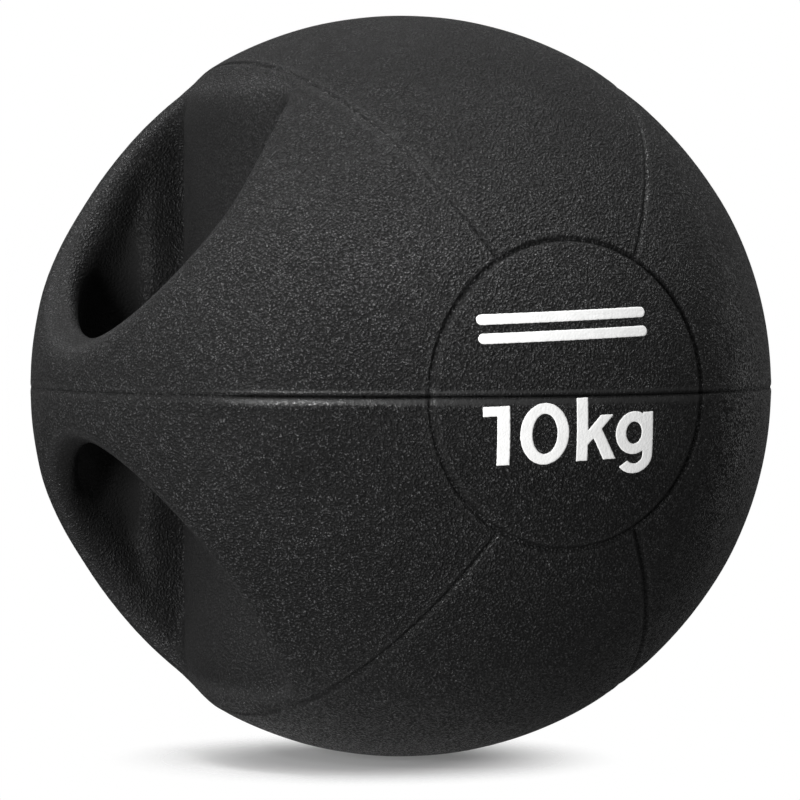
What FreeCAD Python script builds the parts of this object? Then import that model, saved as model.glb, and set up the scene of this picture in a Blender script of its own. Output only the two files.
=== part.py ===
import FreeCAD, Part
import math
import os

# Medicine ball with two moulded grips. Origin at the ball's centre, +Z up,
# grips on -X and +X, marked panel on -Y, valve on the rear panel (+Y). Millimetres.

# Ball and grip openings
BALL_R = 137.5
RECESS_FLOOR_R = 80.6
POCKET_R = 53.0
POCKET_Z = 68.5
GRIP_BACK_R = 118.0
FINGER_GAP_HALF_ANGLE = 18.0
FINGER_GAP_HALF_HEIGHT = 60.0
UNDERCUT_BACK_R = 121.0
UNDERCUT_FLOOR_R = 99.0
UNDERCUT_HALF_WIDTH = 62.0
RIM_ROUND = 12.0
GRIP_BACK_ROUND = 6.0

# Layers, outside to inside
COVER_T = 9.0
BALLAST_T = 10.5
BLADDER_T = 2.5

# Panels and joint lines
PANEL_HALF_ANGLE = 23.3
PANEL_GROOVE_R = 1.1
SEAM_GROOVE_R = 0.9
JOINT_GROOVE_R = 0.6
SEAM_TILT = 60.0

# Core of each grip bar
GRIP_CORE_PATH_R = 127.5
GRIP_CORE_R = 5.0
GRIP_CORE_HALF_ANGLE = 26.0

# Inflation valve
VALVE_TILT = 12.0
BOOT_NECK_R = 7.0
BOOT_FLANGE_R = 20.0
BOOT_FLANGE_T = 3.0
BOOT_SETBACK = 0.6
VALVE_CORE_R = 3.5
VALVE_CORE_SETBACK = 1.1
VALVE_HEAD_R = 6.0
VALVE_HEAD_T = 3.0
NEEDLE_HOLE_R = 1.25
NEEDLE_HOLE_DEPTH = 20.0

# Printing
INK_T = 0.2
PRINT_TILT = 2.2
PRINT_X = -36.4
PRINT_Z = -24.1
STRIPE_X = -38.0
STRIPE_Z = 18.0
STRIPE_LENGTH = 66.0
STRIPE_HEIGHT = 3.6
STRIPE_PITCH = 6.6
STRIPE_COUNT = 2

REACH = 2.0 * BALL_R
ORIGIN = FreeCAD.Vector(0, 0, 0)
ALONG_X = FreeCAD.Vector(1, 0, 0)
ALONG_Y = FreeCAD.Vector(0, 1, 0)
ALONG_Z = FreeCAD.Vector(0, 0, 1)


def vec(x, y, z):
    return FreeCAD.Vector(x, y, z)


def sphere(radius):
    ball = Part.makeSphere(radius)
    ball.rotate(ORIGIN, ALONG_X, 90)
    ball.rotate(ORIGIN, ALONG_Y, 90)
    return ball


def cylinder_z(radius):
    return Part.makeCylinder(radius, 2 * REACH, vec(0, 0, -REACH))


def block(x0, x1, y0, y1, z0, z1):
    return Part.makeBox(x1 - x0, y1 - y0, z1 - z0, vec(x0, y0, z0))


def cut_all(shape, tools):
    for tool in tools:
        shape = shape.cut(tool)
    return shape


def fuse_all(shapes):
    shape = shapes[0]
    for other in shapes[1:]:
        shape = shape.fuse(other)
    return shape


def radius_of(face):
    surface = face.Surface
    known = isinstance(surface, (Part.Sphere, Part.Cylinder))
    return round(surface.Radius, 3) if known else 0.0


def edges_between(shape, pairs):
    found = []
    for edge in shape.Edges:
        radii = {radius_of(f) for f in shape.Faces if any(e.isSame(edge) for e in f.Edges)}
        if radii in pairs:
            found.append(edge)
    return found


def finger_gap():
    """Slot behind the grip bar on -X, with full-round ends."""
    height = 2 * FINGER_GAP_HALF_HEIGHT
    low = -FINGER_GAP_HALF_HEIGHT
    half = math.radians(FINGER_GAP_HALF_ANGLE)
    outer = Part.makeCylinder(GRIP_BACK_R, height, vec(0, 0, low))
    inner = Part.makeCylinder(RECESS_FLOOR_R, height, vec(0, 0, low))
    far = vec(-REACH, 0, low)
    side_a = vec(-REACH * math.cos(half), REACH * math.sin(half), low)
    side_b = vec(-REACH * math.cos(half), -REACH * math.sin(half), low)
    centre = vec(0, 0, low)
    wedge = Part.Face(Part.makePolygon([centre, side_a, far, side_b, centre])).extrude(vec(0, 0, height))
    slot = outer.cut(inner).common(wedge)
    mid_r = (GRIP_BACK_R + RECESS_FLOOR_R) / 2
    end_r = (GRIP_BACK_R - RECESS_FLOOR_R) / 2
    for side in (-1, 1):
        end_at = vec(-mid_r * math.cos(half), side * mid_r * math.sin(half), low)
        slot = slot.fuse(Part.makeCylinder(end_r, height, end_at))
    return slot.removeSplitter()


def outer_eighth():
    """Outer form in the octant x < 0, y > 0, z > 0, with rounded grip edges."""
    pocket = Part.makeCylinder(POCKET_R, REACH, vec(0, 0, POCKET_Z), vec(-1, 0, 0))
    pocket = pocket.cut(cylinder_z(RECESS_FLOOR_R))
    opening = pocket.fuse(finger_gap()).removeSplitter()
    octant = block(-REACH, 0, 0, REACH, 0, REACH)
    sharp = sphere(BALL_R).cut(opening).common(octant).removeSplitter()
    end_r = (GRIP_BACK_R - RECESS_FLOOR_R) / 2
    rim = [{BALL_R, POCKET_R}, {BALL_R, RECESS_FLOOR_R}]
    back = [{GRIP_BACK_R, POCKET_R}, {end_r, POCKET_R}]
    rim_rounded = sharp.makeFillet(RIM_ROUND, edges_between(sharp, rim))
    back_rounded = sharp.makeFillet(GRIP_BACK_ROUND, edges_between(sharp, back))
    hollow = undercut(0, -1).common(sphere(UNDERCUT_BACK_R))
    return rim_rounded.common(back_rounded).cut(hollow)


def undercut(inset, side):
    """Hollow behind the grip on one side that runs on past the side walls, grown by the inset."""
    half_width = UNDERCUT_HALF_WIDTH + inset
    corner_x = math.sqrt(UNDERCUT_FLOOR_R ** 2 - UNDERCUT_HALF_WIDTH ** 2) - inset
    near, far = sorted((side * corner_x, side * REACH))
    top = math.sqrt(UNDERCUT_BACK_R ** 2 - UNDERCUT_FLOOR_R ** 2) + inset
    space = block(near, far, -half_width, half_width, -top, top)
    return space.cut(cylinder_z(UNDERCUT_FLOOR_R - inset))


def groove_tools():
    """Joint line, slanted seam and panel ring for one octant."""
    panel = math.radians(PANEL_HALF_ANGLE)
    joint = Part.makeTorus(BALL_R, JOINT_GROOVE_R)
    seam = Part.makeTorus(BALL_R, SEAM_GROOVE_R)
    seam.rotate(ORIGIN, ALONG_Y, SEAM_TILT)
    inside_panel = block(-REACH, REACH, BALL_R * math.cos(panel), REACH, -REACH, REACH)
    seam = seam.cut(inside_panel)
    ring_at = vec(0, BALL_R * math.cos(panel), 0)
    ring = Part.makeTorus(BALL_R * math.sin(panel), PANEL_GROOVE_R, ring_at, ALONG_Y)
    return [joint, seam, ring]


def grip_opening_block(inset, side):
    """Space kept clear around one opening, grown by the inset."""
    radius = POCKET_R + inset
    floor_corner_x = math.sqrt(RECESS_FLOOR_R ** 2 - POCKET_R ** 2)
    start = side * (floor_corner_x - inset)
    outward = vec(side, 0, 0)
    upper = Part.makeCylinder(radius, REACH, vec(start, 0, POCKET_Z), outward)
    lower = Part.makeCylinder(radius, REACH, vec(start, 0, -POCKET_Z), outward)
    near, far = sorted((start, start + side * REACH))
    middle = block(near, far, -radius, radius, -POCKET_Z, POCKET_Z)
    opening = fuse_all([upper, middle, lower]).cut(cylinder_z(RECESS_FLOOR_R - inset))
    return opening.fuse(undercut(inset, side))


def inner_form(inset):
    """The ball's form one layer further in, following floor and openings."""
    blocks = [grip_opening_block(inset, side) for side in (-1, 1)]
    return cut_all(sphere(BALL_R - inset), blocks)


def grip_core(side):
    ring = Part.makeTorus(GRIP_CORE_PATH_R, GRIP_CORE_R)
    half = math.radians(GRIP_CORE_HALF_ANGLE)
    centre = vec(0, 0, -REACH)
    side_a = vec(side * REACH, REACH * math.tan(half), -REACH)
    side_b = vec(side * REACH, -REACH * math.tan(half), -REACH)
    wedge = Part.Face(Part.makePolygon([centre, side_a, side_b, centre])).extrude(vec(0, 0, 2 * REACH))
    return ring.common(wedge)


def valve_axis():
    tilt = math.radians(VALVE_TILT)
    return vec(0, math.cos(tilt), math.sin(tilt))


def along_valve(radius, start, end):
    axis = valve_axis()
    return Part.makeCylinder(radius, end - start, axis * start, axis)


def bladder_inner_r():
    return BALL_R - COVER_T - BALLAST_T - BLADDER_T


def valve_boot():
    inner = bladder_inner_r()
    outer_end = BALL_R - BOOT_SETBACK
    neck = along_valve(BOOT_NECK_R, inner - BOOT_FLANGE_T / 2, outer_end)
    flange_shell = sphere(inner).cut(sphere(inner - BOOT_FLANGE_T))
    flange = flange_shell.common(along_valve(BOOT_FLANGE_R, inner - 4 * BOOT_FLANGE_T, inner + 1))
    return neck.fuse(flange).cut(along_valve(VALVE_CORE_R, 0, BALL_R))


def valve_core():
    inner = bladder_inner_r()
    outer_end = BALL_R - VALVE_CORE_SETBACK
    head_end = inner - BOOT_FLANGE_T
    stem = along_valve(VALVE_CORE_R, head_end - VALVE_HEAD_T, outer_end)
    head_top = head_end - VALVE_HEAD_R ** 2 / BALL_R
    head = along_valve(VALVE_HEAD_R, head_top - VALVE_HEAD_T, head_top)
    needle_hole = along_valve(NEEDLE_HOLE_R, outer_end - NEEDLE_HOLE_DEPTH, BALL_R)
    return stem.fuse(head).cut(needle_hole)


def cover_half(side):
    """Cover half; side is 1 for the upper and -1 for the lower."""
    eighth = cut_all(outer_eighth(), groove_tools())
    quarter = eighth.fuse(eighth.mirror(ORIGIN, ALONG_Y))
    half = quarter.fuse(quarter.mirror(ORIGIN, ALONG_X)).removeSplitter()
    half = half.cut(inner_form(COVER_T))
    half = cut_all(half, [grip_core(-1), grip_core(1)])
    if side < 0:
        return half.mirror(ORIGIN, ALONG_Z)
    return half.cut(along_valve(BOOT_NECK_R, 0, REACH))


def ballast_half(side):
    liner = inner_form(COVER_T).cut(inner_form(COVER_T + BALLAST_T))
    low, high = (0, REACH) if side > 0 else (-REACH, 0)
    half = liner.common(block(-REACH, REACH, -REACH, REACH, low, high))
    if side < 0:
        return half
    return half.cut(along_valve(BOOT_NECK_R, 0, REACH))


def bladder():
    outer = inner_form(COVER_T + BALLAST_T)
    inner = inner_form(COVER_T + BALLAST_T + BLADDER_T)
    return outer.cut(inner).cut(along_valve(BOOT_NECK_R, 0, REACH))


def flat_shape(points):
    """Flat outline in print space: u to the right, v up, thickness along Y."""
    corners = [vec(u, 0, v) for u, v in points]
    face = Part.Face(Part.makePolygon(corners + [corners[0]]))
    return face.extrude(vec(0, -REACH, 0))


def flat_oval(u, v, half_width, half_height):
    tall = half_height > half_width
    major, minor = (half_height, half_width) if tall else (half_width, half_height)
    centre = vec(u, 0, v)
    along = ALONG_Z if tall else ALONG_X
    across = ALONG_X if tall else ALONG_Z
    oval = Part.Ellipse(centre + along * major, centre + across * minor, centre)
    return Part.Face(Part.Wire(oval.toShape())).extrude(vec(0, -REACH, 0))


def digit_one():
    return flat_shape([(4.9, 0), (9.4, 0), (9.4, 20.5), (0, 20.5), (0, 17.1), (4.9, 17.1)])


def digit_zero():
    return flat_oval(22.1, 10.2, 9.1, 10.7).cut(flat_oval(22.1, 10.2, 4.7, 7.0))


def letter_k():
    stem = flat_shape([(34.3, 0), (38.7, 0), (38.7, 22.0), (34.3, 22.0)])
    arm = flat_shape([(38.2, 5.0), (49.4, 15.6), (43.9, 15.6), (38.2, 10.0)])
    leg = flat_shape([(40.2, 9.2), (45.2, 0), (50.4, 0), (43.8, 11.6)])
    return stem.fuse(arm).fuse(leg)


def letter_g():
    bowl = flat_oval(58.2, 8.6, 7.9, 7.5).cut(flat_oval(58.2, 8.6, 3.5, 3.9))
    stem = flat_shape([(62.3, 0.5), (66.7, 0.5), (66.7, 15.6), (62.3, 15.6)])
    tail = flat_oval(58.7, 0.6, 8.0, 6.3).cut(flat_oval(58.7, 0.6, 3.6, 2.9))
    tail = tail.common(flat_shape([(51.9, -9), (68, -9), (68, 0.6), (58.7, 0.6), (51.9, -3.2)]))
    return fuse_all([bowl, stem, tail])


def stripe(v):
    half = STRIPE_HEIGHT / 2
    run = STRIPE_LENGTH - STRIPE_HEIGHT
    bar = flat_shape([(half, v), (half + run, v), (half + run, v + 2 * half), (half, v + 2 * half)])
    ends = []
    for u in (half, half + run):
        ends.append(Part.makeCylinder(half, REACH, vec(u, 0, v + half), vec(0, -1, 0)))
    return fuse_all([bar] + ends)


def ink(outlines, at_x, at_z):
    """Ink layer of the given outlines, lying on the ball's front."""
    layer = sphere(BALL_R + INK_T).cut(sphere(BALL_R))
    layer = layer.common(block(-REACH, REACH, -REACH, 0, -REACH, REACH))
    marks = []
    for outline in outlines:
        outline.rotate(ORIGIN, ALONG_Y, -PRINT_TILT)
        outline.translate(vec(at_x, 0, at_z))
        marks.append(layer.common(outline).Solids[0])
    return Part.makeCompound(marks)


def weight_mark():
    return ink([digit_one(), digit_zero(), letter_k(), letter_g()], PRINT_X, PRINT_Z)


def badge_mark():
    stripes = [stripe(i * STRIPE_PITCH) for i in range(STRIPE_COUNT)]
    return ink(stripes, STRIPE_X, STRIPE_Z)


def main():
    os.makedirs("parts", exist_ok=True)
    pieces = {
        "upper_shell": cover_half(1),
        "lower_shell": cover_half(-1),
        "upper_ballast": ballast_half(1),
        "lower_ballast": ballast_half(-1),
        "bladder": bladder(),
        "valve_boot": valve_boot(),
        "valve_core": valve_core(),
        "left_grip_core": grip_core(-1),
        "right_grip_core": grip_core(1),
        "weight_mark": weight_mark(),
        "badge_mark": badge_mark(),
    }
    for name, shape in pieces.items():
        shape.exportStep(os.path.join("parts", name + ".step"))
        volume = round(shape.Volume / 1000, 2)
        print(name, "valid", shape.isValid(), "solids", len(shape.Solids), "cm3", volume)


main()
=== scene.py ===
import itertools
import math

import bmesh
import bpy
import numpy as np
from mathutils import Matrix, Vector


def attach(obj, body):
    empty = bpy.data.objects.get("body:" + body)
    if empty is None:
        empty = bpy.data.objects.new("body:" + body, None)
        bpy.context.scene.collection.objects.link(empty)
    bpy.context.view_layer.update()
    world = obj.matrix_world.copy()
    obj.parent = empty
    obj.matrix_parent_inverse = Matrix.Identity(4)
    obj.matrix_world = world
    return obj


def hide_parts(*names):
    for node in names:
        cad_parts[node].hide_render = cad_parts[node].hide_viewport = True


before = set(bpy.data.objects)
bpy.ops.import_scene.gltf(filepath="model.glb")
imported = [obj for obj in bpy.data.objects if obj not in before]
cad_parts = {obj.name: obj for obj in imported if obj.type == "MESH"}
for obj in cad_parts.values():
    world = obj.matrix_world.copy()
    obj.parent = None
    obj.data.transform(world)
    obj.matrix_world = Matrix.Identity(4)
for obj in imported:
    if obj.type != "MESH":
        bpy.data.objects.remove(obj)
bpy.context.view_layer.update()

MM = 0.001

# Ball, recess floor and the hollow behind the rims, the same numbers as the solids, in millimetres
BALL_R = 137.5
FLOOR_R = 80.6
POCKET_R = 53.0
POCKET_Z = 68.5
GRIP_BACK_R = 118.0
GAP_HALF_HEIGHT = 60.0
UNDERCUT_BACK_R = 121.0
UNDERCUT_FLOOR_R = 99.0
UNDERCUT_HALF_WIDTH = 62.0
COVER_T = 9.0

# Visible outline of the pocket, an oval, and of the finger gap; both differ from the solids
POCKET_HALF_WIDTH = 58.0
POCKET_MIDDLE_Z = 68.0
POCKET_UP = 59.0
POCKET_DOWN = 49.0
POCKET_POWER = 1.8
GAP_HALF_WIDTH = 54.0
GAP_END_ROUND = 9.0

# Keeps the middle of the oval from dividing by zero
LEAST_SHARE = 0.05

# The hollow lies only at the sides, further out than this
UNDERCUT_START_X = 60.0

# Panels and slanted seams, grip cores and valve
PANEL_ANGLE = math.radians(23.3)
SEAM_ANGLE = math.radians(60.0)
CORE_PATH_R = 127.5
CORE_R = 5.0
CORE_HALF_ANGLE = math.radians(26.0)
VALVE_TILT = math.radians(12.0)
NECK_R = 7.0
NECK_GAP = 0.05
NECK_SPAN = (105.0, 150.0)
JOINT_GAP = 0.01

# Softness of the moulded edges
RIM_ROUND = 12.0
BACK_ROUND = 7.0
CORNER_ROUND = 6.0
UNDERCUT_ROUND = 7.0
UNDERCUT_EDGE_ROUND = 3.0

# Mesh steps and triangle sides
OUTER_STEP = 4.2
INNER_STEP = 8.0
LINE_SIDE = 0.68
LINE_REACH = 1.6
SIDE_GROWTH = 0.55
BALL_SIDE = 4.0
OPENING_SIDE = 2.6
SPLIT_RATIO = 1.4
ON_PLANE = 1e-6

# Grooves as half width, depth and height of the raised lip, and the slow dip around them
RING_GROOVE = (1.35, 1.0, 0.14)
SEAM_GROOVE = (1.15, 0.85, 0.12)
JOINT_GROOVE = (1.1, 0.85, 0.2)
PANEL_JOINT_GROOVE = (0.7, 0.35, 0.02)
LIP_OUT = 0.9
LIP_SPREAD = 0.8
RING_DIP = 0.30
SEAM_DIP = 0.26
DIP_REACH = 5.0
WAVE_HEIGHT = 0.035
SURFACE_DROP = 0.05
JOINT_LEAST = 0.2
LIP_WIDTH = 0.45
FAR = 9.0


# ---------------------------------------------------------------- form of the ball
def round_and(a, b, r):
    """Where both hold, with the edge between them rounded to radius r."""
    u = np.maximum(a + r, 0)
    v = np.maximum(b + r, 0)
    return np.minimum(np.maximum(a, b), -r) + np.hypot(u, v)


def round_or(a, b, r):
    """Where either holds, with the inner corner between them rounded to radius r."""
    u = np.maximum(r - a, 0)
    v = np.maximum(r - b, 0)
    return np.maximum(np.minimum(a, b), r) - np.hypot(u, v)


def hollow_field(p):
    """Below zero in the hollow behind the bars that runs on behind the rims."""
    x, y = np.abs(p[:, 0]), np.abs(p[:, 1])
    r = np.linalg.norm(p, axis=1)
    hollow = round_and(r - UNDERCUT_BACK_R, UNDERCUT_FLOOR_R - np.hypot(x, y), UNDERCUT_EDGE_ROUND)
    hollow = round_and(hollow, y - UNDERCUT_HALF_WIDTH, UNDERCUT_ROUND)
    return np.maximum(hollow, UNDERCUT_START_X - x)


def opening_field(p):
    """Below zero in the space of the grip openings."""
    x, y, z = np.abs(p[:, 0]), np.abs(p[:, 1]), np.abs(p[:, 2])
    rho = np.hypot(x, y)
    # Pocket above the bar, an oval that is wider in its lower part
    up = z - POCKET_MIDDLE_Z
    reach = np.where(up > 0, POCKET_UP, POCKET_DOWN)
    share = (y / POCKET_HALF_WIDTH) ** POCKET_POWER + (np.abs(up) / reach) ** POCKET_POWER
    share = np.maximum(share ** (1 / POCKET_POWER), LEAST_SHARE)
    away = np.maximum(np.hypot(y, up), LEAST_SHARE * POCKET_DOWN)
    pocket = away * (1 - 1 / share)
    # Finger gap behind the bar
    gap = round_and(rho - GRIP_BACK_R, y - GAP_HALF_WIDTH, GAP_END_ROUND)
    gap = np.maximum(gap, z - GAP_HALF_HEIGHT)
    space = round_or(pocket, gap, BACK_ROUND)
    space = round_and(space, FLOOR_R - rho, CORNER_ROUND)
    return round_or(space, hollow_field(p), UNDERCUT_ROUND)


def outer_field(p):
    """Below zero in the ball without its openings."""
    ball = np.linalg.norm(p, axis=1) - BALL_R
    return round_and(ball, -opening_field(p), RIM_ROUND)


def inner_field(p):
    """Inside of the cover, where the weight liner lies."""
    x, y, z = np.abs(p[:, 0]), np.abs(p[:, 1]), np.abs(p[:, 2])
    ball = np.linalg.norm(p, axis=1) - (BALL_R - COVER_T)
    across = np.hypot(y, np.maximum(z - POCKET_Z, 0)) - (POCKET_R + COVER_T)
    start = math.sqrt(FLOOR_R ** 2 - POCKET_R ** 2) - COVER_T
    block = np.maximum(np.maximum(across, FLOOR_R - COVER_T - np.hypot(x, y)), start - x)
    corner_x = math.sqrt(UNDERCUT_FLOOR_R ** 2 - UNDERCUT_HALF_WIDTH ** 2) - COVER_T
    top = math.sqrt(UNDERCUT_BACK_R ** 2 - UNDERCUT_FLOOR_R ** 2) + COVER_T
    hollow = np.maximum(y - UNDERCUT_HALF_WIDTH - COVER_T, z - top)
    hollow = np.maximum(np.maximum(hollow, UNDERCUT_FLOOR_R - COVER_T - np.hypot(x, y)), corner_x - x)
    return np.maximum(ball, -np.minimum(block, hollow))


def gradient(field, p, step=0.05):
    g = np.empty_like(p)
    for axis in range(3):
        d = np.zeros(3)
        d[axis] = step
        g[:, axis] = (field(p + d) - field(p - d)) / (2 * step)
    return g


# ---------------------------------------------------------------- meshing one octant
def march(field, step):
    """Triangles of the field's zero surface in the octant x, y, z >= 0."""
    n = int(math.ceil((BALL_R + 2 * step) / step)) + 1
    axis = np.arange(n) * step
    grid = np.stack(np.meshgrid(axis, axis, axis, indexing="ij"), -1).reshape(-1, 3)
    value = field(grid) + 1e-7
    inside = value < 0
    cell = np.arange(n - 1)
    base = (cell[:, None, None] * n * n + cell[None, :, None] * n + cell[None, None, :]).ravel()
    strides = (n * n, n, 1)
    corners = base[:, None] + np.array([sum(s for s, b in zip(strides, bits) if b)
                                        for bits in itertools.product((0, 1), repeat=3)])
    mixed = inside[corners].any(1) & ~inside[corners].all(1)
    base = base[mixed]
    pairs = []
    for order in itertools.permutations(range(3)):
        tet = [base]
        for a in order:
            tet.append(tet[-1] + strides[a])
        tet = np.stack(tet, 1)
        flags = inside[tet]
        count = flags.sum(1)
        for want in (1, 3):
            rows = tet[count == want]
            lone = (flags[count == want] == (want == 1)).argmax(1)
            r = np.arange(len(rows))
            one = rows[r, lone]
            rest = [rows[r, (lone + k) % 4] for k in (1, 2, 3)]
            pairs.append(np.stack([np.stack([one, q], 1) for q in rest], 1))
        rows = tet[count == 2]
        rank = np.argsort(~flags[count == 2], axis=1, kind="stable")
        a, b, c, d = (np.take_along_axis(rows, rank, 1)[:, k] for k in range(4))
        ac, ad, bd, bc = (np.stack(e, 1) for e in ((a, c), (a, d), (b, d), (b, c)))
        pairs.append(np.stack([ac, ad, bd], 1))
        pairs.append(np.stack([ac, bd, bc], 1))
    pairs = np.sort(np.concatenate(pairs), axis=2)
    keys, where = np.unique(pairs.reshape(-1, 2), axis=0, return_inverse=True)
    tris = where.reshape(-1, 3)
    va, vb = value[keys[:, 0]], value[keys[:, 1]]
    t = np.clip(va / (va - vb), 0.15, 0.85)[:, None]
    verts = grid[keys[:, 0]] * (1 - t) + grid[keys[:, 1]] * t
    return verts, tris[(tris[:, 0] != tris[:, 1]) & (tris[:, 1] != tris[:, 2]) & (tris[:, 0] != tris[:, 2])]


def project(field, v, rounds=3):
    """Moves points onto the surface; points on an octant plane stay on it."""
    free = (v > ON_PLANE).astype(float)
    for _ in range(rounds):
        g = gradient(field, v) * free
        size = np.maximum((g * g).sum(1), 1e-6)
        move = (field(v) / size)[:, None] * g
        length = np.linalg.norm(move, axis=1, keepdims=True)
        v = v - move * np.minimum(1, 2.0 / np.maximum(length, 1e-9))
    return v


def sides(tris):
    """The three sides of each triangle, as ordered pairs of points."""
    return np.sort(np.stack([tris[:, [0, 1]], tris[:, [1, 2]], tris[:, [2, 0]]], 1), axis=2)


def relax(field, v, tris, rounds, share=0.5):
    """Evens out the triangles by moving each point towards its neighbours along the surface."""
    free = (v > ON_PLANE).astype(float)
    edges = np.unique(sides(tris).reshape(-1, 2), axis=0)
    degree = np.bincount(edges.ravel(), minlength=len(v))[:, None]
    for _ in range(rounds):
        total = np.zeros_like(v)
        for a, b in ((0, 1), (1, 0)):
            for axis in range(3):
                total[:, axis] += np.bincount(edges[:, a], v[edges[:, b], axis], len(v))
        v = v + (total / np.maximum(degree, 1) - v) * free * share
        v = np.where(free > 0, np.maximum(v, 0), v)
        v = project(field, v, 1)
    return project(field, v, 2)


def refine(v, tris, wanted):
    """Splits every edge longer than the wanted length at its middle."""
    edges, where = np.unique(sides(tris).reshape(-1, 2), axis=0, return_inverse=True)
    where = where.reshape(-1, 3)
    middle = (v[edges[:, 0]] + v[edges[:, 1]]) / 2
    length = np.linalg.norm(v[edges[:, 0]] - v[edges[:, 1]], axis=1)
    split = length > SPLIT_RATIO * wanted(middle)
    number = np.cumsum(split) - 1 + len(v)
    v = np.concatenate([v, middle[split]])
    m = np.where(split[where], number[where], -1)
    code = split[where] @ np.array([1, 2, 4])
    out = [tris[code == 0]]
    for turn in range(3):
        t, k = np.roll(tris, -turn, 1), np.roll(m, -turn, 1)
        one = code == (1 << turn)
        out.append(np.stack([t[one, 0], k[one, 0], t[one, 2]], 1))
        out.append(np.stack([k[one, 0], t[one, 1], t[one, 2]], 1))
        two = code == ((1 << turn) | (1 << ((turn + 1) % 3)))
        a, b, c, ab, bc = t[two, 0], t[two, 1], t[two, 2], k[two, 0], k[two, 1]
        out.append(np.stack([ab, b, bc], 1))
        short = np.linalg.norm(v[a] - v[bc], axis=1) < np.linalg.norm(v[ab] - v[c], axis=1)
        out.append(np.where(short[:, None], np.stack([a, ab, bc], 1), np.stack([a, ab, c], 1)))
        out.append(np.where(short[:, None], np.stack([a, bc, c], 1), np.stack([ab, bc, c], 1)))
    every = code == 7
    a, b, c = tris[every].T
    ab, bc, ca = m[every].T
    for corner in ((a, ab, ca), (ab, b, bc), (ca, bc, c), (ab, bc, ca)):
        out.append(np.stack(corner, 1))
    return v, np.concatenate(out)


def facing_out(field, v, tris):
    """The triangles, turned so that their normals follow the field's gradient."""
    a, b, c = v[tris[:, 0]], v[tris[:, 1]], v[tris[:, 2]]
    normal = np.cross(b - a, c - a)
    out = gradient(field, (a + b + c) / 3)
    back = (normal * out).sum(1) < 0
    tris = tris.copy()
    tris[back] = tris[back][:, ::-1]
    return tris


def unfold(v, tris):
    """Mirrors an octant across x = 0 and y = 0 and welds it into the upper half."""
    for axis in (0, 1):
        twin = v.copy()
        twin[:, axis] *= -1
        on_plane = np.abs(v[:, axis]) < ON_PLANE
        index = np.where(on_plane, np.arange(len(v)), np.cumsum(~on_plane) - 1 + len(v))
        v = np.concatenate([v, twin[~on_plane]])
        tris = np.concatenate([tris, index[tris][:, ::-1]])
    return v, tris


# ---------------------------------------------------------------- joint lines and panels
def line_distances(p):
    """Distances in mm to the panel ring, the slanted seams and the moulding joint."""
    r = np.linalg.norm(p, axis=1)
    from_axis = np.arccos(np.clip(np.abs(p[:, 1]) / r, -1, 1))
    ring = (from_axis - PANEL_ANGLE) * BALL_R
    seam = np.abs(p[:, 0]) * math.sin(SEAM_ANGLE) - np.abs(p[:, 2]) * math.cos(SEAM_ANGLE)
    seam = np.where(ring > -1, np.abs(seam), np.hypot(seam, ring + 1))
    return ring, seam, np.abs(p[:, 2])


def smooth(edge0, edge1, x):
    """Smooth step from 0 at edge0 to 1 at edge1."""
    t = np.clip((x - edge0) / (edge1 - edge0), 0, 1)
    return t * t * (3 - 2 * t)


def bell(x, middle, width):
    return np.exp(-((x - middle) / width) ** 2)


def groove(d, width, depth, lip):
    """Height of a moulded line at distance d, with a raised lip along each side."""
    d = np.abs(d)
    cut = np.clip(1 - d / width, 0, 1)
    cut = cut * cut * (3 - 2 * cut)
    return -depth * cut + lip * np.exp(-((d - width - LIP_OUT) / LIP_SPREAD) ** 2)


def joint_share(p):
    """How much of the joint line is left: it is faint on the left bar and right of the panels."""
    x = p[:, 0]
    kept = smooth(-120.0, -100.0, x) * (1 - 0.75 * smooth(50.0, 62.0, x))
    return JOINT_LEAST + (1 - JOINT_LEAST) * kept


def wave(p):
    """Slow unevenness of the moulded surface, from -2 to 2."""
    first = np.sin(p[:, 0] * 0.19 + 1.3) * np.sin(p[:, 1] * 0.17 + 0.4)
    second = np.sin(p[:, 2] * 0.23 + 2.1) * np.sin(p[:, 0] * 0.11)
    return first + second


def relief(p):
    """Height in mm of the moulded detail over the plain form."""
    ring, seam, joint = line_distances(p)
    on_ball = smooth(-1.2, -0.2, np.linalg.norm(p, axis=1) - BALL_R)
    rings = groove(ring, *RING_GROOVE) - RING_DIP * bell(ring, 0, DIP_REACH)
    seams = groove(seam, *SEAM_GROOVE) - SEAM_DIP * bell(seam, 0, DIP_REACH)
    height = (rings + smooth(0.0, 1.6, ring) * seams) * on_ball
    in_panel = smooth(0.0, -1.5, ring)
    joint_line = groove(joint, *JOINT_GROOVE) * (1 - in_panel)
    joint_line = joint_line + groove(joint, *PANEL_JOINT_GROOVE) * in_panel
    return height + joint_line * joint_share(p) + WAVE_HEIGHT * wave(p) - SURFACE_DROP


def wanted_length(p):
    """Triangle side in mm: fine along the moulded lines, coarse away from them."""
    ring, seam, joint = line_distances(p)
    on_ball = np.linalg.norm(p, axis=1) > BALL_R - 1.0
    near = np.minimum(np.abs(ring), seam)
    near = np.where(on_ball, np.minimum(near, joint), joint)
    fine = LINE_SIDE + SIDE_GROWTH * np.maximum(near - LINE_REACH, 0)
    plain_ball = np.abs(np.linalg.norm(p, axis=1) - BALL_R) < 0.02
    coarse = np.where(plain_ball, BALL_SIDE, OPENING_SIDE)
    return np.minimum(fine, coarse)


def cover_surface():
    """Outer skin of the upper half, with its moulded lines."""
    v, tris = march(outer_field, OUTER_STEP)
    v = relax(outer_field, project(outer_field, v), tris, 12)
    for _ in range(5):
        v, tris = refine(v, tris, wanted_length)
        v = relax(outer_field, project(outer_field, v), tris, 2, 0.35)
    tris = facing_out(outer_field, v, tris)
    v, tris = unfold(v, tris)
    normal = gradient(outer_field, v)
    normal /= np.linalg.norm(normal, axis=1, keepdims=True)
    return v + normal * relief(v)[:, None], tris


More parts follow.
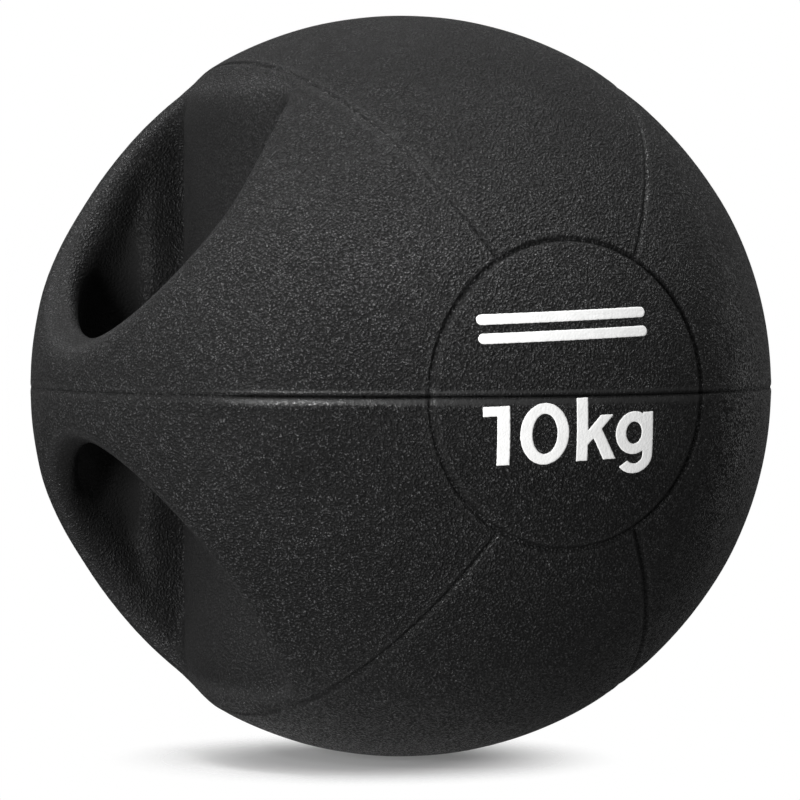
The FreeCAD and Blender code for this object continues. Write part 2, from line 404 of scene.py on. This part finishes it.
def liner_side_surface():
    """Inner skin of the upper half, facing the weight liner."""
    v, tris = march(inner_field, INNER_STEP)
    v = project(inner_field, v)
    v, tris = unfold(v, facing_out(inner_field, v, tris))
    return v, tris[:, ::-1]


def core_channel(side):
    """Half-round channel in the joint face for the core of a grip bar."""
    rows = np.linspace(-CORE_HALF_ANGLE, CORE_HALF_ANGLE, 41)
    cols = np.linspace(0, math.pi, 13)
    a, t = np.meshgrid(rows, cols, indexing="ij")
    rho = CORE_PATH_R + CORE_R * np.cos(t)
    v = np.stack([side * rho * np.cos(a), rho * np.sin(a), CORE_R * np.sin(t)], -1).reshape(-1, 3)
    v[:, 2] = np.where(np.tile((cols == 0) | (cols == math.pi), len(rows)), 0, v[:, 2])
    n = len(cols)
    tris = []
    for i in range(len(rows) - 1):
        for j in range(n - 1):
            q = i * n + j
            tris += [(q, q + 1, q + n), (q + 1, q + n + 1, q + n)]
    for i in (0, len(rows) - 1):
        for j in range(1, n - 1):
            q = i * n
            tris.append((q, q + j, q + j + 1) if i else (q, q + j + 1, q + j))
    tris = np.array(tris)
    return v, tris if side > 0 else tris[:, ::-1]


def closed_piece(name, verts, faces, fill_normal=None):
    """New object from points in metres, its flat opening filled and its faces turned outwards."""
    mesh = bpy.data.meshes.new(name)
    mesh.from_pydata(verts, [], faces)
    bm = bmesh.new()
    bm.from_mesh(mesh)
    if fill_normal:
        rim = [e for e in bm.edges if e.is_boundary]
        bmesh.ops.triangle_fill(bm, use_beauty=False, edges=rim, normal=fill_normal)
    bmesh.ops.recalc_face_normals(bm, faces=bm.faces)
    bm.to_mesh(mesh)
    bm.free()
    piece = bpy.data.objects.new(name, mesh)
    bpy.context.collection.objects.link(piece)
    return piece


def build_half(name, parts, lower):
    """One closed cover half from its surfaces, with the flat joint face filled in."""
    verts, faces, start = [], [], 0
    for v, tris in parts:
        verts.append(v)
        faces.append(tris + start)
        start += len(v)
    verts, faces = np.concatenate(verts), np.concatenate(faces)
    verts[:, 2] = np.where(np.abs(verts[:, 2]) < 1e-4, 0, verts[:, 2]) + JOINT_GAP
    if lower:
        verts = verts * [1, 1, -1]
        faces = faces[:, ::-1]
    return closed_piece(name, (verts * MM).tolist(), faces.tolist(), (0, 0, 1 if lower else -1))


def cut_neck(piece):
    """Bores the cover for the neck of the valve boot."""
    axis = Vector((0, math.cos(VALVE_TILT), math.sin(VALVE_TILT)))
    across = Vector((1, 0, 0))
    upward = axis.cross(across)
    turns = 64
    verts, faces = [], []
    for along in NECK_SPAN:
        for i in range(turns):
            t = 2 * math.pi * i / turns
            outward = across * math.cos(t) + upward * math.sin(t)
            verts.append(tuple((axis * along + outward * (NECK_R + NECK_GAP)) * MM))
    for i in range(turns):
        j = (i + 1) % turns
        faces.append((i, j, turns + j, turns + i))
    faces.append(tuple(reversed(range(turns))))
    faces.append(tuple(range(turns, 2 * turns)))
    tool = closed_piece("neck_tool", verts, faces)
    cut = piece.modifiers.new("neck", "BOOLEAN")
    cut.operation = "DIFFERENCE"
    cut.solver = "EXACT"
    cut.object = tool
    done = bpy.data.meshes.new_from_object(piece.evaluated_get(bpy.context.evaluated_depsgraph_get()))
    piece.modifiers.remove(cut)
    piece.data = done
    mesh = tool.data
    bpy.data.objects.remove(tool)
    bpy.data.meshes.remove(mesh)


def mark_zones(piece):
    """Stores where the recess, the grooves and the rim edges are, for the material."""
    mesh = piece.data
    p = np.empty(len(mesh.vertices) * 3)
    mesh.vertices.foreach_get("co", p)
    p = p.reshape(-1, 3) / MM
    ring, seam, joint = line_distances(p)
    depth = BALL_R - np.linalg.norm(p, axis=1)
    on_ball = smooth(2.0, 0.6, depth)
    groove_near = np.minimum(np.abs(ring), seam) * on_ball + FAR * (1 - on_ball)
    share = joint_share(p)
    line = np.maximum(smooth(1.6, 0.6, groove_near), smooth(1.1, 0.3, joint) * share)
    # The lip bands mark where the material paints highlights beside the grooves and along the joint
    below = smooth(-3.3, -2.7, p[:, 2]) * smooth(-0.5, -1.0, p[:, 2])
    above = bell(p[:, 2], 1.5, LIP_WIDTH)
    lip = np.maximum(0.35 * bell(groove_near, 2.1, LIP_WIDTH), (0.9 * below + above) * share)
    # Where the material paints a highlight along the rims of the recesses
    rim = bell(opening_field(p), 4.0, 1.7) * smooth(9.0, 1.0, depth)
    # Where the material paints shade in the hollow behind the bars
    painted_hollow_shade = smooth(3.0, -0.5, hollow_field(p))
    zones = {"recess": smooth(1.5, 9.0, depth), "line": line, "lip": lip, "rim": rim, "painted_hollow_shade": painted_hollow_shade}
    for name, value in zones.items():
        layer = mesh.attributes.new(name, "FLOAT", "POINT")
        layer.data.foreach_set("value", value.astype(np.float32))


surface = cover_surface()
inner = liner_side_surface()
parts = [surface, inner, core_channel(-1), core_channel(1)]
upper = build_half("cover_upper", parts, False)
lower = build_half("cover_lower", parts, True)
cut_neck(upper)
for piece, node in ((upper, "upper_shell"), (lower, "lower_shell")):
    piece.data.shade_smooth()
    mark_zones(piece)
    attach(piece, "root")
    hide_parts(node)


# ---------------------------------------------------------------- printing
PRINT_TILT = math.radians(2.2)
PRINT_AT = (-36.4, -24.1)
STRIPES_AT = (-38.0, 18.0)
STRIPE_LENGTH = 66.0
STRIPE_HEIGHT = 3.6
STRIPE_PITCH = 6.6
INK_STEP = 0.3
INK_THICK = 0.13
INK_EDGE_THICK = 0.05
INK_LIFT = 0.015
PROBE = 0.02


def polygon_distance(q, points):
    """Signed distance from points q to a closed outline, negative inside."""
    points = np.array(points, float)
    best = np.full(len(q), 1e9)
    inside = np.zeros(len(q), bool)
    for a, b in zip(points, np.roll(points, -1, axis=0)):
        edge = b - a
        t = np.clip(((q - a) @ edge) / (edge @ edge), 0, 1)
        best = np.minimum(best, np.linalg.norm(q - a - t[:, None] * edge, axis=1))
        crosses = (a[1] > q[:, 1]) != (b[1] > q[:, 1])
        slope = (b[0] - a[0]) / (b[1] - a[1]) if b[1] != a[1] else 0
        inside ^= crosses & (q[:, 0] < a[0] + (q[:, 1] - a[1]) * slope)
    return np.where(inside, -best, best)


def oval(u, v, half_width, half_height):
    """Points of an ellipse about (u, v)."""
    t = np.linspace(0, 2 * math.pi, 96, endpoint=False)
    return np.stack([u + half_width * np.cos(t), v + half_height * np.sin(t)], 1)


def ring_distance(q, outer, inner):
    """Signed distance to the band between two ovals."""
    return np.maximum(polygon_distance(q, oval(*outer)), -polygon_distance(q, oval(*inner)))


def digit_one(q):
    return polygon_distance(q, [(4.9, 0), (9.4, 0), (9.4, 20.5), (0, 20.5), (0, 17.1), (4.9, 17.1)])


def digit_zero(q):
    return ring_distance(q, (22.1, 10.2, 9.1, 10.7), (22.1, 10.2, 4.7, 7.0))


def letter_k(q):
    stem = polygon_distance(q, [(34.3, 0), (38.7, 0), (38.7, 22.0), (34.3, 22.0)])
    arm = polygon_distance(q, [(38.2, 5.0), (49.4, 15.6), (43.9, 15.6), (38.2, 10.0)])
    leg = polygon_distance(q, [(40.2, 9.2), (45.2, 0), (50.4, 0), (43.8, 11.6)])
    return np.minimum(np.minimum(stem, arm), leg)


def letter_g(q):
    bowl = ring_distance(q, (58.2, 8.6, 7.9, 7.5), (58.2, 8.6, 3.5, 3.9))
    stem = polygon_distance(q, [(62.3, 0.5), (66.7, 0.5), (66.7, 15.6), (62.3, 15.6)])
    tail = ring_distance(q, (58.7, 0.6, 8.0, 6.3), (58.7, 0.6, 3.6, 2.9))
    kept = polygon_distance(q, [(51.9, -9), (68, -9), (68, 0.6), (58.7, 0.6), (51.9, -3.2)])
    return np.minimum(np.minimum(bowl, stem), np.maximum(tail, kept))


def stripe(v):
    """Distance function of a bar with round ends that starts at height v."""
    half = STRIPE_HEIGHT / 2

    def distance(q):
        along = np.clip(q[:, 0], half, STRIPE_LENGTH - half)
        return np.hypot(q[:, 0] - along, q[:, 1] - v - half) - half
    return distance


def uneven(q):
    """Slow wander of the printed edge, in mm."""
    u, v = q[:, 0], q[:, 1]
    return 0.045 * (np.sin(1.7 * u + 0.9 * v) * np.sin(2.3 * v - 0.6 * u + 1.1)
                   + 0.7 * np.sin(4.1 * u - 1.3 * v + 2.0) * np.sin(3.7 * v + 0.8 * u))


def print_patch(distance, box, at):
    """Closed thin ink patch: its outline is the zero of the distance, laid on the ball."""
    u0, u1, v0, v1 = box
    us = np.arange(u0, u1 + INK_STEP, INK_STEP)
    vs = np.arange(v0, v1 + INK_STEP, INK_STEP)
    q = np.stack(np.meshgrid(us, vs, indexing="ij"), -1).reshape(-1, 2)

    def edge(points):
        return distance(points) + uneven(points)

    d = edge(q)
    n = len(vs)
    i = (np.arange(len(us) - 1)[:, None] * n + np.arange(n - 1)[None, :]).ravel()
    quads = np.stack([i, i + n, i + n + 1, i + 1], 1)
    quads = quads[(d[quads] < 0.45 * INK_STEP).all(1)]
    used = np.unique(quads)
    number = np.full(len(q), -1)
    number[used] = np.arange(len(used))
    quads, q = number[quads], q[used]
    pairs = np.concatenate([quads[:, [k, (k + 1) % 4]] for k in range(4)])
    keys = {(a, b) for a, b in pairs.tolist()}
    border = [(a, b) for a, b in keys if (b, a) not in keys]
    snap = np.unique(np.array(border))
    for _ in range(3):
        g = np.stack([edge(q[snap] + [PROBE, 0]) - edge(q[snap] - [PROBE, 0]),
                      edge(q[snap] + [0, PROBE]) - edge(q[snap] - [0, PROBE])], 1) / (2 * PROBE)
        move = g * (edge(q[snap]) / np.maximum((g * g).sum(1), 0.3))[:, None]
        q[snap] -= np.clip(move, -0.6 * INK_STEP, 0.6 * INK_STEP)
    x = q[:, 0] * math.cos(PRINT_TILT) - q[:, 1] * math.sin(PRINT_TILT) + at[0]
    z = q[:, 0] * math.sin(PRINT_TILT) + q[:, 1] * math.cos(PRINT_TILT) + at[1]
    p = np.stack([x, -np.sqrt(BALL_R ** 2 - x ** 2 - z ** 2), z], 1)
    out = p / BALL_R
    height = relief(p)
    thick = np.full(len(p), INK_THICK)
    thick[snap] = INK_EDGE_THICK
    low = p + out * (height + INK_LIFT)[:, None]
    top = p + out * (height + INK_LIFT + thick)[:, None]
    m = len(p)
    faces = quads.tolist() + (quads[:, ::-1] + m).tolist() + [(b, a, a + m, b + m) for a, b in border]
    return np.concatenate([top, low]), faces


def print_piece(name, node, marks, at):
    """One print layer from its marks, each a distance function and the box that holds it."""
    verts, faces, start = [], [], 0
    for distance, box in marks:
        v, f = print_patch(distance, box, at)
        verts.append(v)
        faces += [[k + start for k in face] for face in f]
        start += len(v)
    piece = closed_piece(name, (np.concatenate(verts) * MM).tolist(), faces)
    piece.data.shade_smooth()
    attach(piece, "root")
    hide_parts(node)
    return piece


weight = print_piece("print_weight", "weight_mark", [
    (digit_one, (-1, 11, -1, 22)), (digit_zero, (12, 32, -2, 22)),
    (letter_k, (33, 52, -1, 23)), (letter_g, (49.5, 68, -7, 17))], PRINT_AT)
stripes = print_piece("print_stripes", "badge_mark", [
    (stripe(0), (-1, 67, -1, 5)), (stripe(STRIPE_PITCH), (-1, 67, 5.6, 11.6))], STRIPES_AT)


# ---------------------------------------------------------------- materials
class Graph:
    """Short way to write a node material; lengths are in millimetres."""

    def __init__(self, name):
        self.material = bpy.data.materials.new(name)
        self.material.use_nodes = True
        self.tree = self.material.node_tree
        self.shader = self.tree.nodes["Principled BSDF"]
        coordinates = self.tree.nodes.new("ShaderNodeTexCoord")
        mapping = self.tree.nodes.new("ShaderNodeMapping")
        mapping.inputs["Scale"].default_value = (1000, 1000, 1000)
        self.tree.links.new(coordinates.outputs["Object"], mapping.inputs["Vector"])
        self.place = mapping.outputs["Vector"]

    def join(self, value, socket):
        if isinstance(value, bpy.types.NodeSocket):
            self.tree.links.new(value, socket)
        else:
            socket.default_value = value

    def noise(self, size, detail=3.0, rough=0.5, at=None, warp=0.0):
        node = self.tree.nodes.new("ShaderNodeTexNoise")
        self.join(at or self.place, node.inputs["Vector"])
        node.inputs["Scale"].default_value = 1 / size
        node.inputs["Detail"].default_value = detail
        node.inputs["Roughness"].default_value = rough
        node.inputs["Distortion"].default_value = warp
        return node.outputs["Factor" if "Factor" in node.outputs else "Fac"]

    def cells(self, size, at=None):
        node = self.tree.nodes.new("ShaderNodeTexVoronoi")
        self.join(at or self.place, node.inputs["Vector"])
        node.inputs["Scale"].default_value = 1 / size
        return node.outputs["Distance"]

    def math(self, kind, a, b):
        node = self.tree.nodes.new("ShaderNodeMath")
        node.operation = kind
        for socket, value in zip(node.inputs, (a, b)):
            self.join(value, socket)
        return node.outputs[0]

    def span(self, value, low, high, to_low=0.0, to_high=1.0):
        """Smooth change from to_low at low to to_high at high."""
        node = self.tree.nodes.new("ShaderNodeMapRange")
        node.interpolation_type = "SMOOTHSTEP"
        for socket, item in zip(node.inputs, (value, low, high, to_low, to_high)):
            self.join(item, socket)
        return node.outputs["Result"]

    def zone(self, name):
        """Value that mark_zones stored on the mesh."""
        node = self.tree.nodes.new("ShaderNodeAttribute")
        node.attribute_name = name
        return node.outputs["Factor" if "Factor" in node.outputs else "Fac"]

    def mix(self, factor, a, b):
        node = self.tree.nodes.new("ShaderNodeMix")
        node.data_type = "RGBA"
        colors = [s for s in node.inputs if s.type == "RGBA"]
        self.join(factor, node.inputs[0])
        self.join(a if isinstance(a, bpy.types.NodeSocket) else (*a, 1), colors[0])
        self.join(b if isinstance(b, bpy.types.NodeSocket) else (*b, 1), colors[1])
        return [s for s in node.outputs if s.type == "RGBA"][0]

    def shifted(self, size, amount):
        """Place moved about by noise, so that cells lose their regular outline."""
        node = self.tree.nodes.new("ShaderNodeTexNoise")
        self.join(self.place, node.inputs["Vector"])
        node.inputs["Scale"].default_value = 1 / size
        node.inputs["Detail"].default_value = 2
        less = self.tree.nodes.new("ShaderNodeVectorMath")
        less.operation = "MULTIPLY_ADD"
        self.join(node.outputs["Color"], less.inputs[0])
        less.inputs[1].default_value = (amount, amount, amount)
        self.join(self.place, less.inputs[2])
        return less.outputs[0]

    def bump(self, height, depth, strength=1.0, under=None):
        """Depth is the height in mm of a full step of the height value."""
        node = self.tree.nodes.new("ShaderNodeBump")
        node.inputs["Distance"].default_value = depth * MM
        self.join(strength, node.inputs["Strength"])
        self.join(height, node.inputs["Height"])
        if under:
            self.join(under, node.inputs["Normal"])
        return node.outputs["Normal"]

    def finish(self, color, roughness, normal=None, **fixed):
        self.join(color, self.shader.inputs["Base Color"])
        self.join(roughness, self.shader.inputs["Roughness"])
        if normal:
            self.join(normal, self.shader.inputs["Normal"])
        for name, value in fixed.items():
            self.shader.inputs[name.replace("_", " ")].default_value = value
        return self.material


def leather_grain(g):
    """Height of the moulded pebbles, which have lost the regular outline of cells."""
    wandering = g.shifted(1.2, 1.0)
    pebble = g.math("MULTIPLY", g.cells(0.92, wandering), -0.9)
    return g.math("ADD", pebble, g.math("MULTIPLY", g.noise(0.40, 1.0, 0.5, wandering), 0.7))


def cover_rubber():
    """Black moulded rubber with a leather-like grain that fades inside the recesses."""
    g = Graph("cover_rubber")
    recess, line, lip, rim, painted_hollow_shade = (g.zone(n) for n in ("recess", "line", "lip", "rim", "painted_hollow_shade"))
    grain = leather_grain(g)
    patches = g.noise(30.0, 2.0)
    clouds = g.noise(8.0, 2.0)
    strength = g.span(patches, 0.3, 0.7, 0.75, 1.05)
    strength = g.math("MULTIPLY", strength, g.span(recess, 0.0, 1.0, 1.0, 0.6))
    strength = g.math("MULTIPLY", strength, g.span(g.math("MAXIMUM", line, lip), 0.0, 0.8, 1.0, 0.15))
    height = g.math("ADD", g.math("MULTIPLY", grain, strength), g.math("MULTIPLY", clouds, 0.30))
    shaped = g.bump(height, 1.0)
    # Colour: black, with painted glints on the high spots of the grain, painted highlights along the groove
    # lips and the recess rims, dark groove lines, dust in patches and painted shade in the hollow behind the
    # bars
    color = g.mix(g.span(patches, 0.35, 0.7), (0.0030, 0.0030, 0.0033), (0.0060, 0.0060, 0.0063))
    # Painted shade: the valleys of the grain are darkened as though in shadow
    color = g.mix(g.span(grain, -0.22, -0.02, 0.0, 0.9), (0.0012, 0.0012, 0.0013), color)
    # Painted glints: the high spots of the grain are lightened to stand for lamps glinting on the pebbles,
    # and only a fifth as much inside the recesses, which paints shade there
    painted_glints = g.math("MULTIPLY", g.span(grain, 0.0, 0.2), g.span(recess, 0.0, 1.0, 1.0, 0.2))
    painted_glints = g.math("MULTIPLY", painted_glints, g.span(g.noise(2.3, 1.0), 0.42, 0.60, 0.25, 1.0))
    color = g.mix(painted_glints, color, (0.105, 0.105, 0.107))
    # Painted highlight: the raised lips beside the grooves and the band along the joint are lightened as
    # though catching the lamps
    color = g.mix(g.math("MULTIPLY", lip, 0.5), color, (0.075, 0.075, 0.075))
    # Painted highlight: a thin bright line along the rims of the recesses
    color = g.mix(g.math("MULTIPLY", rim, 0.3), color, (0.060, 0.060, 0.061))
    color = g.mix(g.math("MULTIPLY", line, 0.97), color, (0.0010, 0.0010, 0.0010))
    dust = g.math("MULTIPLY", g.span(g.noise(0.9, 3.0, 0.7), 0.66, 0.78), g.span(patches, 0.5, 0.7))
    color = g.mix(g.math("MULTIPLY", dust, 0.35), color, (0.080, 0.077, 0.074))
    # Painted shade: the hollow behind the bars is painted almost black, as though no light reached it
    color = g.mix(g.math("MULTIPLY", painted_hollow_shade, 0.95), color, (0.0004, 0.0004, 0.0004))
    # Roughness: worn smoother on the high spots, rougher down in the grain
    rough = g.span(grain, -0.35, 0.15, 0.72, 0.24)
    rough = g.math("ADD", rough, g.span(clouds, 0.3, 0.7, -0.04, 0.06))
    rough = g.math("ADD", rough, g.math("MULTIPLY", recess, 0.10))
    rough = g.math("ADD", rough, g.math("MULTIPLY", lip, -0.08))
    rough = g.math("ADD", rough, g.math("MULTIPLY", dust, 0.20))
    rough = g.math("MAXIMUM", rough, g.math("MULTIPLY", painted_hollow_shade, 0.95))
    return g.finish(color, rough, shaped, Specular_IOR_Level=0.42)


def white_ink():
    """Thin white print that lets the grain of the rubber show."""
    g = Graph("white_ink")
    grain = leather_grain(g)
    worn = g.math("MULTIPLY", g.span(g.noise(0.5, 4.0, 0.65), 0.62, 0.72), g.span(g.noise(7.0), 0.45, 0.65))
    tone = g.mix(g.span(g.noise(5.0), 0.3, 0.7), (0.82, 0.82, 0.81), (0.92, 0.92, 0.91))
    tone = g.mix(g.math("MULTIPLY", worn, 0.7), tone, (0.20, 0.20, 0.20))
    rough = g.span(grain, -0.5, 0.2, 0.62, 0.48)
    # The ink glows a little: its emission is painted light that lifts the print above what the lamps give
    return g.finish(tone, rough, g.bump(grain, 0.10), Specular_IOR_Level=0.4,
                    Emission_Color=(1, 1, 1, 1), Emission_Strength=0.32)


def filled_rubber():
    """Dull rubber of the weight liner, full of metal grains."""
    g = Graph("ballast_rubber")
    spots = g.cells(0.8)
    metal = g.math("MULTIPLY", g.span(spots, 0.16, 0.10), g.span(g.noise(1.1), 0.45, 0.6))
    tone = g.mix(g.span(g.noise(14.0, 4.0), 0.35, 0.65), (0.055, 0.052, 0.049), (0.085, 0.080, 0.074))
    tone = g.mix(metal, tone, (0.30, 0.27, 0.24))
    shaped = g.bump(g.noise(1.3, 4.0), 0.30, 0.6, g.bump(g.noise(11.0), 0.8, 0.5))
    g.join(metal, g.shader.inputs["Metallic"])
    return g.finish(tone, g.span(g.noise(3.0), 0.3, 0.7, 0.66, 0.84), shaped)


def bladder_rubber():
    """Thin butyl skin with a bloom and flow marks."""
    g = Graph("bladder_rubber")
    flow = g.noise(18.0, 4.0, 0.55, warp=1.6)
    tone = g.mix(g.span(flow, 0.35, 0.65), (0.030, 0.029, 0.029), (0.052, 0.050, 0.049))
    tone = g.mix(g.math("MULTIPLY", g.span(g.noise(4.0, 4.0), 0.55, 0.75), 0.4), tone, (0.12, 0.12, 0.118))
    shaped = g.bump(g.noise(0.7, 3.0), 0.05, 0.5, g.bump(flow, 0.5, 0.5))
    return g.finish(tone, g.span(flow, 0.3, 0.7, 0.30, 0.46), shaped)


def valve_rubber():
    """Soft smooth rubber with fine turning lines and a little talc."""
    g = Graph("valve_rubber")
    talc = g.math("MULTIPLY", g.span(g.noise(0.9, 4.0, 0.7), 0.56, 0.72), 0.45)
    tone = g.mix(g.span(g.noise(6.0), 0.35, 0.65), (0.016, 0.016, 0.017), (0.028, 0.028, 0.029))
    tone = g.mix(talc, tone, (0.11, 0.11, 0.108))
    shaped = g.bump(g.noise(0.35, 3.0), 0.05, 0.5, g.bump(g.noise(2.2), 0.16, 0.4))
    return g.finish(tone, g.span(g.noise(1.6), 0.3, 0.7, 0.40, 0.56), shaped)


def core_rubber():
    """Hard brown-black rubber rod, ground at the surface."""
    g = Graph("core_rubber")
    ground = g.noise(0.5, 4.0, 0.7)
    tone = g.mix(g.span(g.noise(7.0, 4.0), 0.35, 0.65), (0.060, 0.046, 0.038), (0.095, 0.076, 0.062))
    tone = g.mix(g.math("MULTIPLY", g.span(ground, 0.6, 0.75), 0.5), tone, (0.16, 0.135, 0.115))
    return g.finish(tone, g.span(ground, 0.3, 0.7, 0.60, 0.78), g.bump(ground, 0.12, 0.6))


def dress(piece, material):
    piece.data.materials.clear()
    piece.data.materials.append(material)


rubber = cover_rubber()
dress(upper, rubber)
dress(lower, rubber)
ink = white_ink()
dress(weight, ink)
dress(stripes, ink)
filled, skin, soft, hard = filled_rubber(), bladder_rubber(), valve_rubber(), core_rubber()
inside = {"upper_ballast": filled, "lower_ballast": filled, "bladder": skin, "valve_boot": soft,
          "valve_core": soft, "left_grip_core": hard, "right_grip_core": hard}
for node, material in inside.items():
    dress(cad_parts[node], material)


# ---------------------------------------------------------------- studio
CAMERA_AZIMUTH = math.radians(-27.56)
CAMERA_RISE = math.radians(1.575)
CAMERA_DISTANCE = 13 * BALL_R * MM
CAMERA_LENS = 216.1
CAMERA_SHIFT = (-0.001, -0.0175)
AMBIENT = 0.12
BACKGROUND = 1.0
OVERHEAD = 3.1
OVERHEAD_SPREAD = math.radians(36)
OVERHEAD_TILT = (math.radians(-4), math.radians(2), 0)
FLOOR_HALF = 6.0
FLOOR_DROP = 0.0005
FLOOR_GLOW = 0.15
SHADOW_MIDDLE = (-16.0, 0.0, -138.0)
SHADOW_FADE = (30.0, 98.0)


def linked(name, data):
    """New object of the data, in the scene."""
    made = bpy.data.objects.new(name, data)
    bpy.context.collection.objects.link(made)
    return made


def add_camera():
    data = bpy.data.cameras.new("camera")
    cam = linked("camera", data)
    bpy.context.scene.camera = cam
    flat = math.cos(CAMERA_RISE)
    back = Vector((math.sin(CAMERA_AZIMUTH) * flat, -math.cos(CAMERA_AZIMUTH) * flat, math.sin(CAMERA_RISE)))
    cam.location = back * CAMERA_DISTANCE
    cam.rotation_euler = back.to_track_quat("Z", "Y").to_euler()
    data.sensor_width = 36
    data.lens = CAMERA_LENS
    data.shift_x, data.shift_y = CAMERA_SHIFT
    data.clip_start = 0.05
    data.clip_end = 50


def add_world():
    """White background that lights the ball only dimly, so that the lamps shape it."""
    world = bpy.data.worlds.new("studio")
    bpy.context.scene.world = world
    world.use_nodes = True
    nodes, links = world.node_tree.nodes, world.node_tree.links
    ambient = nodes["Background"]
    ambient.inputs[0].default_value = (1, 1, 1, 1)
    ray = nodes.new("ShaderNodeLightPath")
    level = nodes.new("ShaderNodeMapRange")
    level.inputs["To Min"].default_value = AMBIENT
    level.inputs["To Max"].default_value = BACKGROUND
    links.new(ray.outputs["Is Camera Ray"], level.inputs["Value"])
    links.new(level.outputs["Result"], ambient.inputs["Strength"])


def add_overhead():
    data = bpy.data.lights.new("overhead", "SUN")
    data.energy = OVERHEAD
    data.angle = OVERHEAD_SPREAD
    linked("overhead", data).rotation_euler = OVERHEAD_TILT


def add_softbox(name, azimuth, height, distance, width, tall, power):
    """Rectangular light that faces the ball; azimuth is seen from above, 0 on -Y."""
    data = bpy.data.lights.new(name, "AREA")
    data.shape = "RECTANGLE"
    data.size, data.size_y = width, tall
    data.energy = power
    lamp = linked(name, data)
    turn = math.radians(azimuth)
    lamp.location = (distance * math.sin(turn), -distance * math.cos(turn), height)
    lamp.rotation_euler = lamp.location.to_track_quat("Z", "Y").to_euler()


def floor_paper():
    """Pale paper that fades to nothing around the contact shadow."""
    g = Graph("floor_paper")
    tone = g.mix(g.noise(180.0), (0.84, 0.84, 0.84), (0.86, 0.86, 0.86))
    material = g.finish(tone, 0.8, Emission_Color=(1, 1, 1, 1), Emission_Strength=FLOOR_GLOW)
    spread = g.tree.nodes.new("ShaderNodeVectorMath")
    spread.operation = "DISTANCE"
    spread.inputs[1].default_value = SHADOW_MIDDLE
    g.join(g.place, spread.inputs[0])
    clear = g.tree.nodes.new("ShaderNodeBsdfTransparent")
    blend = g.tree.nodes.new("ShaderNodeMixShader")
    g.join(g.span(spread.outputs["Value"], *SHADOW_FADE), blend.inputs[0])
    g.join(g.shader.outputs["BSDF"], blend.inputs[1])
    g.join(clear.outputs["BSDF"], blend.inputs[2])
    g.join(blend.outputs["Shader"], g.tree.nodes["Material Output"].inputs["Surface"])
    return material


def add_floor():
    mesh = bpy.data.meshes.new("floor")
    s = FLOOR_HALF
    z = -BALL_R * MM - FLOOR_DROP
    mesh.from_pydata([(-s, -s, z), (s, -s, z), (s, s, z), (-s, s, z)], [], [(0, 1, 2, 3)])
    mesh.materials.append(floor_paper())
    return linked("floor", mesh)


bpy.context.scene.view_settings.view_transform = "Standard"
add_camera()
add_world()
add_overhead()
add_softbox("strip", azimuth=-57, height=-0.04, distance=1.2, width=0.12, tall=0.6, power=12.0)
add_softbox("left_back", azimuth=-128, height=0.35, distance=1.3, width=0.5, tall=0.9, power=2.0)
add_softbox("right_back", azimuth=115, height=-0.02, distance=1.4, width=0.3, tall=0.5, power=0.3)
add_softbox("front_key", azimuth=-64, height=0.6, distance=1.3, width=0.10, tall=0.10, power=2.2)
floor = add_floor()
